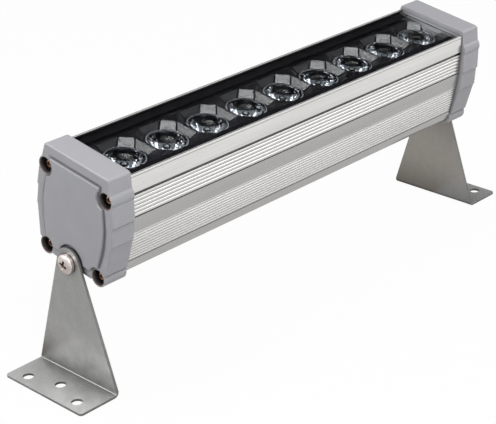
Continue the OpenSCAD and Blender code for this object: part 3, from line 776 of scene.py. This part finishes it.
@dataclass
class EndCap:
    """Die-cast end cap: rounded face, bosses with counterbores and a raised panel."""

    shop: Workshop
    end: End
    inner_x: float = 135.0
    grip_x: float = 137.5
    plate_x: float = 147.0
    face_x: float = 150.0
    panel_x: float = 151.0
    face_round: float = 0.9
    boss_round: float = 0.45
    boss_reach: float = 5.6
    boss_fade: float = 5.0
    pivot_boss_more: float = 2.0
    rim_round: float = 0.35
    corner_round: float = 1.7
    corner_least_z: float = 55.0
    corner_least_deg: float = 60.0
    moat_inner: float = -0.6
    moat_side_y: float = 17.0
    moat_widening: float = 0.9
    moat_grows_from: float = 6.5
    moat_grows_over: float = 6.0
    counterbore_r: float = 4.3
    counterbore_lip: float = 0.3
    thread_r: float = 1.55
    thread_depth: float = 20.0
    pivot_r: float = 3.05
    pivot_depth: float = 11.5
    gland_z: float = 35.0
    gland_r: float = 6.1
    gland_depth: float = 4.0
    over: float = 2.0

    def screw_distance(self, p: Vector) -> float:
        """Distance of a point of the face from the nearest cap screw's axis."""
        return min(math.hypot(abs(p.y) - y, p.z - z) for y, z in CAP_SCREW_PLACES)

    def radius_at(self, p: Vector) -> float:
        """Radius of the face's rounding at a point of the outline.

        Args:
            p: Point of the outline.

        Returns:
            A small radius at the bosses, which grows between them.
        """
        near = min(self.screw_distance(p), math.hypot(p.y, p.z) - self.pivot_boss_more)
        share = ease(near, self.boss_reach, self.boss_fade)
        return self.boss_round + (self.face_round - self.boss_round) * share

    def soften(self, outline: Outline) -> Outline:
        """Rounds the two top corners of the outline.

        Args:
            outline: The cap's outline.

        Returns:
            The outline, with four points for each of these corners.
        """
        result = []
        for i, here in enumerate(outline):
            before, after = outline[i - 1] - here, outline[(i + 1) % len(outline)] - here
            bend = 180 - math.degrees(before.angle(after))
            if here.z < self.corner_least_z or bend < self.corner_least_deg:
                result.append(here)
                continue
            start = here + before.normalized() * self.corner_round
            end = here + after.normalized() * self.corner_round
            for t in (0.0, 1 / 3, 2 / 3, 1.0):
                result.append(start * (1 - t) ** 2 + here * 2 * t * (1 - t) + end * t * t)
        return result

    def body(self, outline: Outline) -> Shape:
        """Solid of the outline, with a rounded face and a rounded inner rim.

        Args:
            outline: The cap's outline.

        Returns:
            The solid, for the right-hand end.
        """
        rings = []
        for a in (0, 45, 90):
            s, c = math.sin(math.radians(a)), math.cos(math.radians(a))
            rings.append((lambda p, s=s: self.rim_round * (1 - s),
                          lambda p, c=c: self.inner_x + self.rim_round * (1 - c)))
        for a in (0, 18, 36, 54, 72, 90):
            s, c = math.sin(math.radians(a)), math.cos(math.radians(a))
            rings.append((lambda p, c=c: self.radius_at(p) * (1 - c),
                          lambda p, s=s: self.face_x - self.radius_at(p) * (1 - s)))
        return stack(outline, rings)

    def panel(self, outline: Outline) -> Shape:
        """Raised panel with a drafted wall, hollow at its foot and rounded at its top.

        Args:
            outline: The panel's outline.

        Returns:
            The solid, sunk a little into the face.
        """
        wall = ((-0.3, -1.0), (-0.3, -0.4), (-0.2, 0.1), (-0.1, 0.5), (0.0, 0.76), (0.12, 0.91),
                (0.28, 0.98), (0.46, 1.0))
        return stack(outline, [(lambda p, i=i: i, lambda p, x=x: self.face_x + x) for i, x in wall])

    def moat_reach(self, p: Vector) -> float:
        """Factor that widens the moat along the panel's curved sides, 1 at the bosses."""
        more = self.moat_widening if abs(p.y) > self.moat_side_y else 0.0
        return 1 + more * ease(self.screw_distance(p), self.moat_grows_from, self.moat_grows_over)

    def moat(self, outline: Outline) -> Shape:
        """Cutter for the moat that the panel stands in, wider along its sides.

        Args:
            outline: The panel's outline.

        Returns:
            The cutter.
        """
        wall = ((self.moat_inner, -0.55), (-0.75, -0.53), (-1.0, -0.4), (-1.35, -0.16), (-1.75, -0.04),
                (-2.1, 0.0), (-2.1, 0.5))
        return stack(outline, [
            (lambda p, i=i: (i - self.moat_inner) * self.moat_reach(p) + self.moat_inner,
             lambda p, x=x: self.face_x + x * (0.5 + 0.5 * self.moat_reach(p))) for i, x in wall])

    def prism(self, outline: Outline, x0: float, x1: float) -> Shape:
        """Prism of an outline from x0 to x1."""
        return stack(outline, [(lambda p: 0.0, lambda p: x0), (lambda p: 0.0, lambda p: x1)])

    def bore(self, radius: float, depth: float, z: float) -> Shape:
        """Cutter for a plain hole in the face, in the middle plane."""
        return turned([(-depth, 0), (-depth, radius), (self.over, radius), (self.over, 0)],
                      (self.face_x, 0, z))

    def holes(self) -> list[Shape]:
        """Cutters for counterbores, screw holes, the pivot's thread and the gland.

        Returns:
            One cutter for each hole.
        """
        lip, r, seat, deep = (self.counterbore_lip, self.counterbore_r, CAP_SCREW_SEAT - self.face_x,
                              -self.thread_depth)
        profile = [(deep, 0), (deep, self.thread_r), (seat, self.thread_r), (seat, r), (-lip, r),
                   (-lip * 0.6, r + lip * 0.1), (-lip * 0.2, r + lip * 0.5), (0, r + lip),
                   (self.over, r + lip), (self.over, 0)]
        cutters = [turned(profile, (self.face_x, side * y, z))
                   for y, z in CAP_SCREW_PLACES for side in (-1, 1)]
        cutters.append(self.bore(self.pivot_r, self.pivot_depth, 0))
        if self.end is End.RIGHT:
            cutters.append(self.bore(self.gland_r, self.gland_depth, self.gland_z))
        return cutters

    def build(self) -> None:
        """Builds the cap from the outlines of its CAD node."""
        node = f"end_cap_{self.end.word}"
        mirror = (self.end.value, 1, 1)
        cad = cad_copy(node)
        bmesh.ops.scale(cad, verts=cad.verts, vec=mirror)
        outline = self.soften(section_loops(cad, self.face_x)[0])
        panel = section_loops(cad, self.panel_x)[0]
        socket = section_loops(cad, self.inner_x)[1]
        bay = section_loops(cad, self.plate_x)[0]
        cad.free()
        parts = [("DIFFERENCE", self.moat(panel)), ("UNION", self.panel(panel)),
                 ("DIFFERENCE", self.prism(socket, self.inner_x - 1, self.grip_x)),
                 ("DIFFERENCE", self.prism(bay, self.inner_x, self.plate_x))]
        parts += [("DIFFERENCE", cutter) for cutter in self.holes()]
        shape = combine(self.body(outline), parts)
        lip = self.counterbore_lip
        # Faces down in the counterbores take the painted shade of the bores, and the rim round them the
        # browned bare paint
        for face in shape.faces:
            c = face.calc_center_median()
            beyond = self.screw_distance(c) - self.counterbore_r
            if CAP_SCREW_SEAT - 0.1 < c.x < self.face_x - lip - SAME and beyond < 0.05:
                face.material_index = 1
            elif -lip - SAME < c.x - self.face_x < SAME and -SAME < beyond < lip + SAME:
                face.material_index = 2
        bmesh.ops.scale(shape, verts=shape.verts, vec=mirror)
        self.shop.hand_in(shape, f"cast_cap_{self.end.word}", node, sharp_deg=28,
                          inlays=[BORE_SHADE, BARE_RIM])


@dataclass(frozen=True)
class CrossHeadScrew:
    """Pan-head screw with a cross recess, pointing along X at one end of the lamp."""

    seat_x: float
    head_r: float
    head_h: float
    shank_r: float
    shank_len: float
    recess: float
    wall: float
    arm: float
    recess_middle: float = 0.9
    recess_taper: tuple[float, float] = (0.45, 0.7)
    lean_deg: float = 12.0
    tip: tuple[float, float] = (0.4, 0.3)
    foot: float = 0.96
    rim: tuple[float, float] = (0.12, 0.985)
    dome_fullness: float = 0.75
    steps: int = 72

    def shape(self, y: float, z: float, end: End) -> Shape:
        """Builds the screw.

        Args:
            y: Place of its axis across the lamp.
            z: Place of its axis above the pivot axis.
            end: End of the lamp.

        Returns:
            The screw.
        """
        r, h = self.head_r, self.head_h
        tip_len, tip_step = self.tip
        dome = [(h * (self.wall + (1 - self.wall) * math.sin(math.radians(k))),
                 r * math.cos(math.radians(k)) ** self.dome_fullness) for k in range(0, 88, 4)]
        profile = [(-self.shank_len, 0), (-self.shank_len, self.shank_r - tip_step),
                   (-self.shank_len + tip_len, self.shank_r), (0, self.shank_r), (0, r * self.foot),
                   (self.rim[0], r * self.rim[1]), *dome, (h, 0)]
        screw = turned(profile, (self.seat_x, y, z), steps=self.steps)
        cutters = []
        for angle in (0, 90):
            arm = bmesh.new()
            bmesh.ops.create_cube(arm, size=1)
            bmesh.ops.scale(arm, verts=arm.verts, vec=(h, self.recess, self.recess * self.arm))
            for v in arm.verts:
                if v.co.x < 0:
                    v.co.y *= self.recess_taper[0]
                    v.co.z *= self.recess_taper[1]
            bmesh.ops.translate(arm, verts=arm.verts, vec=(self.seat_x + h * self.recess_middle, y, z))
            bmesh.ops.rotate(arm, verts=arm.verts, cent=(0, y, z),
                             matrix=Matrix.Rotation(math.radians(angle + self.lean_deg), 3, "X"))
            cutters.append(("DIFFERENCE", arm))
        screw = combine(screw, cutters)
        bmesh.ops.scale(screw, verts=screw.verts, vec=(end.value, 1, 1))
        return screw


@dataclass
class CapScrews:
    """Four coppery screws deep in the counterbores of one end cap."""

    shop: Workshop
    end: End
    screw: CrossHeadScrew = CrossHeadScrew(
        seat_x=CAP_SCREW_SEAT, head_r=2.9, head_h=2.2, shank_r=1.5, shank_len=22.0, recess=4.2,
        wall=0.3, arm=0.3)

    def build(self) -> None:
        """Builds the four screws as one piece."""
        shape = bmesh.new()
        for y, z in CAP_SCREW_PLACES:
            for side in (1, -1):
                mesh = mesh_of(self.screw.shape(side * y, z, self.end))
                shape.from_mesh(mesh)
                bpy.data.meshes.remove(mesh)
        self.shop.hand_in(shape, f"cross_screws_{self.end.word}", f"cap_screws_{self.end.word}", sharp_deg=40)


@dataclass
class PivotScrew:
    """Large cross-head screw that clamps a bracket."""

    shop: Workshop
    end: End
    screw: CrossHeadScrew = CrossHeadScrew(
        seat_x=152.9, head_r=5.4, head_h=3.6, shank_r=3.0, shank_len=13.9, recess=7.4,
        wall=0.48, arm=0.22)

    def build(self) -> None:
        """Builds the screw."""
        self.shop.hand_in(self.screw.shape(0.0, 0.0, self.end), f"pivot_pan_head_{self.end.word}",
                          f"pivot_screw_{self.end.word}", sharp_deg=40)


@dataclass
class Bracket:
    """Folded sheet bracket with broken edges."""

    shop: Workshop
    end: End
    edge_break: float = 0.2
    plate_x: float = 152.8
    sheet: float = 1.5
    fold_r: float = 1.5
    fold_share: float = 0.4
    dull_least_z: float = 3.0

    def tighten_fold(self, shape: Shape) -> None:
        """Makes the fold's inner radius smaller, as a sharp press brake leaves it.

        Args:
            shape: The folded sheet.
        """
        for v in shape.verts:
            dx, dz = abs(v.co.x) - self.plate_x, v.co.z - self.sheet
            if -SAME < min(dx, dz) and max(dx, dz) < self.fold_r + SAME:
                v.co.x = math.copysign(self.plate_x + dx * self.fold_share, v.co.x)
                v.co.z = self.sheet + dz * self.fold_share

    def build(self) -> None:
        """Finishes a copy of the folded sheet: a tight fold, and broken, dull edges."""
        node = f"bracket_{self.end.word}"
        shape = cad_copy(node, SHEET_FRAME)
        self.tighten_fold(shape)
        round_edges(shape, self.edge_break, segments=2, wanted=lambda e: True, least_deg=35)
        for face in shape.faces:
            face.material_index = int(abs(face.normal.y) > 0.3
                                      and face.calc_center_median().z > self.dull_least_z)
        self.shop.hand_in(shape, f"folded_bracket_{self.end.word}", node, SHEET_FRAME, inlays=[SHEARED_EDGE])


@dataclass
class Gland:
    """Clamping nut and body of the cable gland, with rounded edges."""

    shop: Workshop
    least_edge: float = 0.05

    def build(self) -> None:
        """Rounds copies of the gland's two outer pieces."""
        for node, name, radius in (("gland_nut", "clamping_nut", 0.5), ("gland_body", "gland_hexagon", 0.25)):
            shape = cad_copy(node)
            round_edges(shape, radius, segments=3, wanted=lambda e: e.calc_length() > self.least_edge,
                        least_deg=40)
            self.shop.hand_in(shape, name, node)


@dataclass
class LensTray:
    """Black tray with eight-sided wells, whose upright seams have a narrow dull bevel."""

    shop: Workshop
    seam: float = 0.55
    seam_reach_z: float = 4.0
    seam_reach_y: float = 15.0
    seam_least_rise: float = 1.0

    def build(self) -> None:
        """Bevels the seams between the walls of the wells in a copy of the tray."""
        shape = cad_copy("lens_tray")
        low = max(v.co.z for v in shape.verts) - self.seam_reach_z
        seams = round_edges(shape, self.seam, segments=1,
                            wanted=lambda e: max(v.co.z for v in e.verts) > low
                            and max(abs(v.co.y) for v in e.verts) < self.seam_reach_y
                            and abs(e.verts[0].co.z - e.verts[1].co.z) > self.seam_least_rise)
        for face in seams:
            face.material_index = 1
        self.shop.hand_in(shape, "moulded_tray", "lens_tray", sharp_deg=8, inlays=[SEAM_BLACK])


@dataclass
class LensRow:
    """Nine moulded lenses, each with a rim, a hollow crown and a pocket over its light."""

    shop: Workshop
    count: int = 9
    pitch: float = 29.8
    shift: float = 2.5
    base_z: float = 35.6
    steps: int = 36
    frosted_from_r: float = 10.9
    frosted_from_z: float = 11.2
    flutes_r: tuple[float, float] = (3.7, 10.15)
    flutes_top: float = 10.0
    flute_depth: float = 0.24
    facet_depth: float = 0.1

    def profile(self) -> list[tuple[float, float]]:
        """Outline of a lens, from the crown's middle over the rim to the pocket.

        Returns:
            Points as height above the board and radius.
        """
        crown = [(11.1 - 1.2 * (1 - (r / 4.6) ** 2), r) for r in (0, 1.2, 2.4, 3.5, 4.2)]
        rim = [(11.02, 4.6), (11.1, 5.0), (11.14, 5.6), (11.2, 8.6), (11.25, 10.2), (11.5, 10.34),
               (11.68, 10.6), (11.7, 10.85), (11.6, 11.12), (11.35, 11.28), (10.35, 11.28), (10.1, 11.1),
               (10.02, 10.3)]
        side = [(0.5 + 9.4 * t, 3.6 + 6.6 * math.sqrt(t))
                for t in (0.97, 0.85, 0.7, 0.55, 0.4, 0.27, 0.16, 0.08, 0.02, 0)]
        pocket = [(0.5, 2.8), (2.5, 2.55), (4.6, 2.25), (5.3, 1.7), (5.55, 0.9), (5.6, 0)]
        return crown + rim + side + pocket

    def build(self) -> None:
        """Turns every lens at its place."""
        for i in range(self.count):
            x = self.shift + (i - (self.count - 1) / 2) * self.pitch
            shape = turned(self.profile(), (x, 0, self.base_z), Vector((0, 0, 1)), self.steps)
            self.cut_flutes(shape, x)
            # The rim takes the pale matt finish, a painted highlight
            for face in shape.faces:
                c = face.calc_center_median()
                face.material_index = int(math.hypot(c.x - x, c.y) > self.frosted_from_r
                                          and c.z - self.base_z > self.frosted_from_z)
            self.shop.hand_in(shape, f"moulded_lens_{i + 1}", f"lens_{i + 1}", sharp_deg=3, inlays=[LENS_RIM_HIGHLIGHT])

    def cut_flutes(self, shape: Shape, x: float) -> None:
        """Turns the lens's curved wall to uneven flutes of small mirror facets.

        The factors in the sines are large, so that neighbours come out unlike each other.

        Args:
            shape: The lens.
            x: Place of its axis along the lamp.
        """
        low, high = self.flutes_r
        for k, v in enumerate(shape.verts):
            across = Vector((v.co.x - x, v.co.y, 0))
            if low < across.length < high and v.co.z - self.base_z < self.flutes_top:
                flute = round(math.atan2(across.y, across.x) * self.steps / math.tau)
                v.co += across.normalized() * (self.flute_depth * math.sin(12.9898 * flute)
                                               + self.facet_depth * math.sin(78.233 * k))


# The studio


@dataclass
class Studio:
    """Pale floor, soft lamps, white surroundings and the camera, all in metres."""

    eye: Triple = (-0.59523, -0.56622, 0.42517)
    turn_deg: Triple = (64.983, 1.903, -46.302)
    lens_mm: float = 113.478
    aim: Triple = (0, 0, 0.09)
    surround: float = 0.24
    floor_z: float = -0.0003
    floor_seen: float = 0.96
    floor_glimpsed: float = 0.15
    card_z: float = 0.0006

    def camera(self) -> None:
        """Sets the camera at the photograph's viewpoint."""
        data = bpy.data.cameras.new("camera")
        data.lens = self.lens_mm
        data.sensor_width = 36.0
        camera = bpy.data.objects.new("camera", data)
        camera.location = self.eye
        camera.rotation_euler = [math.radians(a) for a in self.turn_deg]
        bpy.context.scene.collection.objects.link(camera)
        bpy.context.scene.camera = camera

    def white_share(self, tree: Tree) -> Socket:
        """Share that is 1 for camera, glossy and transmission rays, and 0 for others.

        Args:
            tree: The node tree.

        Returns:
            The share.
        """
        light = add_node(tree, "LightPath")
        share = light.outputs["Is Camera Ray"]
        for ray in ("Is Glossy Ray", "Is Transmission Ray"):
            larger = add_node(tree, "Math", {0: share, 1: light.outputs[ray]}, operation="MAXIMUM")
            share = larger.outputs[0]
        return share

    def world(self) -> None:
        """Soft white surroundings, fully white where they are seen."""
        world = bpy.data.worlds.new("white_surroundings")
        world.use_nodes = True
        tree = world.node_tree
        tree.nodes.clear()
        level = add_node(tree, "MapRange", {
            "Value": self.white_share(tree), "To Min": self.surround, "To Max": 1.0})
        shine = add_node(tree, "Background", {"Color": WHITE, "Strength": level.outputs[0]})
        add_node(tree, "OutputWorld", {"Surface": shine.outputs[0]})
        bpy.context.scene.world = world

    def floor(self) -> None:
        """Pale floor that keeps a faint shadow and is otherwise white to the camera."""
        shape = bmesh.new()
        bmesh.ops.create_grid(shape, x_segments=2, y_segments=2, size=3.0)
        floor = new_object(shape, "floor", Matrix.Translation((0, 0, self.floor_z)))
        material, tree = empty_material("pale_floor")
        pale = add_node(tree, "BsdfDiffuse", {"Color": linear("#d0d0d0")})
        white = add_node(tree, "Emission", {"Color": WHITE, "Strength": 1.0})
        light = add_node(tree, "LightPath")
        seen = add_node(tree, "Math", {
            0: light.outputs["Is Camera Ray"], 1: self.floor_seen}, operation="MULTIPLY")
        glimpsed = add_node(tree, "Math", {
            0: self.white_share(tree), 1: self.floor_glimpsed}, operation="MULTIPLY")
        share = add_node(tree, "Math", {
            0: seen.outputs[0], 1: glimpsed.outputs[0]}, operation="MAXIMUM")
        mixed = add_node(tree, "MixShader", {
            0: share.outputs[0], 1: pale.outputs[0], 2: white.outputs[0]})
        add_node(tree, "OutputMaterial", {"Surface": mixed.outputs[0]})
        floor.data.materials.append(material)

    def softbox(self, name: str, place: Triple, size: float, watts: float) -> None:
        """Adds a square soft lamp that looks at the lamp's middle.

        Args:
            name: Name of the lamp.
            place: Where it hangs.
            size: Length of its sides.
            watts: Its power.
        """
        data = bpy.data.lights.new(name, "AREA")
        data.shape = "SQUARE"
        data.size = size
        data.energy = watts
        lamp = bpy.data.objects.new(name, data)
        lamp.location = place
        aim = Vector(self.aim) - Vector(place)
        lamp.rotation_euler = aim.to_track_quat("-Z", "Y").to_euler()
        bpy.context.scene.collection.objects.link(lamp)

    def card(self, name: str, centre: Triple, target: Triple, size: tuple[float, float], level: float,
             tint: str = "#ffffff") -> None:
        """Puts a plain card in the set, which only reflections show.

        Args:
            name: Name of the card.
            centre: Its middle.
            target: Point that it faces.
            size: Its width and height.
            level: Its brightness, where 1 is white.
            tint: Its colour.
        """
        shape = bmesh.new()
        bmesh.ops.create_grid(shape, x_segments=1, y_segments=1, size=0.5)
        bmesh.ops.scale(shape, verts=shape.verts, vec=(*size, 1))
        facing = (Vector(target) - Vector(centre)).to_track_quat("Z", "Y").to_matrix().to_4x4()
        card = new_object(shape, name, Matrix.Translation(centre) @ facing)
        material, tree = empty_material(name)
        paint = add_node(tree, "Emission", {"Color": linear(tint), "Strength": level})
        add_node(tree, "OutputMaterial", {"Surface": paint.outputs[0]})
        card.data.materials.append(material)
        card.visible_camera = card.visible_diffuse = card.visible_shadow = False

    def build(self) -> None:
        """Sets up the whole studio. The cards but the dark one lie on the floor."""
        self.camera()
        self.world()
        self.floor()
        self.softbox("key_softbox", (-0.43, -0.73, 1.08), 0.74, 12.0)
        self.softbox("back_left_softbox", (-0.95, 0.67, 0.68), 0.5, 5.0)
        self.softbox("front_right_softbox", (0.95, -0.75, 0.8), 0.8, 3.5)
        self.softbox("overhead_softbox", (0.0, 0.25, 1.35), 0.8, 8.5)
        # Cards seen only in reflections: the dark one is a painted dark reflection for the glass, and those
        # on the floor paint the floor's light and shade round the lamp, warm under it, into the reflections
        # of the metal
        self.card("dark_card", (0.41, 0.3, 0.44), (0, 0, 0.1), (0.52, 0.5), 0.004)
        for name, x, y, size, level, tint in (
                ("table_card", 0.02, -0.0775, (0.84, 0.155), 0.6, "#ffffff"),
                ("side_card", -0.29, 0.0775, (0.22, 0.155), 0.56, "#ffffff"),
                ("shade_card", 0.135, 0.0775, (0.61, 0.155), 0.455, "#fff5e9"),
                ("bright_card", 0.1, -0.4, (1.6, 0.49), 1.15, "#ffffff")):
            self.card(name, (x, y, self.card_z), (x, y, 1), size, level, tint)
        bpy.context.scene.view_settings.view_transform = "Standard"
        log.info("studio ready")


def main() -> None:
    """Builds every piece and the studio."""
    logging.basicConfig(level=logging.INFO, format="%(name)s: %(message)s")
    shop = Workshop()
    shop.dress_frame()
    Housing(shop).build()
    FrontGlass(shop).build()
    for end in End:
        EndCap(shop, end).build()
        CapScrews(shop, end).build()
        PivotScrew(shop, end).build()
        Bracket(shop, end).build()
    Gland(shop).build()
    LensTray(shop).build()
    LensRow(shop).build()
    Studio().build()
    bpy.context.view_layer.update()


if __name__ == "__main__":
    main()
